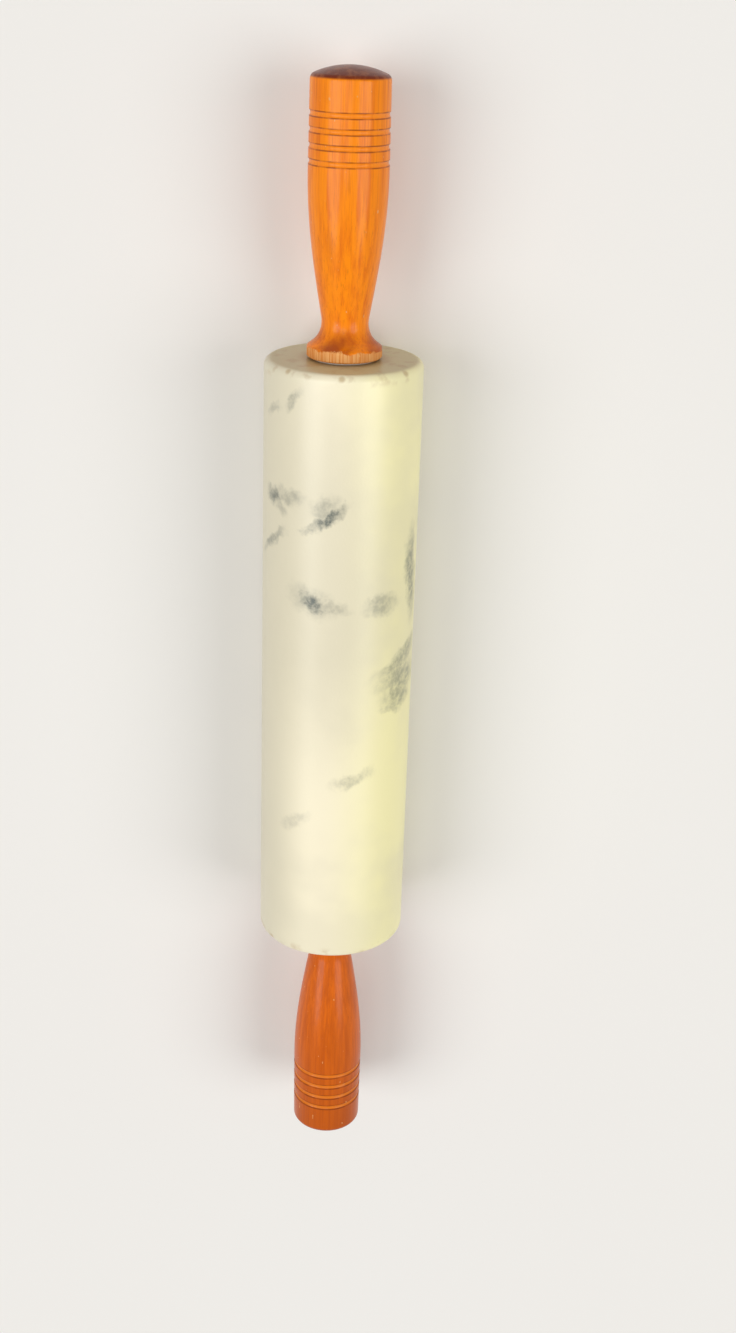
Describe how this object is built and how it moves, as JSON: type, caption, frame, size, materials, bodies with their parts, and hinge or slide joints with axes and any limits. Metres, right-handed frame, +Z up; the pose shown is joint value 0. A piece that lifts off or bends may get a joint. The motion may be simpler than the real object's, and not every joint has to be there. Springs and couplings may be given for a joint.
{
  "type": "rolling pin",
  "caption": "Rolling pin with a polished marble barrel that turns on a steel axle between two turned, varnished wooden handles, for rolling out dough and pastry.",
  "frame": {"origin": "on the axle, at the middle of the barrel", "axes": "+X along the axle towards the right handle, +Z up when the pin lies on a table"},
  "size_m": [0.47, 0.0624, 0.0624],
  "materials": {
    "marble": "polished cream marble with soft grey-green smudges",
    "varnished_wood": "glossy orange varnish over straight grain, worn at the collar's rim",
    "nylon": "smooth natural nylon",
    "axle_steel": "bright drawn steel",
    "zinc_steel": "dull zinc plating",
    "brass": "turned brass"
  },
  "bodies": {
    "handles": {"axle_rod": "axle_steel", "left_washer": "axle_steel", "right_washer": "axle_steel", "left_lock_nut": "zinc_steel", "right_lock_nut": "zinc_steel", "left_insert": "brass", "right_insert": "brass", "left_handle": "varnished_wood", "right_handle": "varnished_wood"},
    "barrel": {"marble_barrel": "marble", "left_bush": "nylon", "right_bush": "nylon"}
  },
  "joints": [
    {"name": "barrel_spin", "type": "hinge", "parent": "handles", "child": "barrel", "pos_m": [0, 0, 0], "axis": [1, 0, 0], "continuous": true}
  ]
}
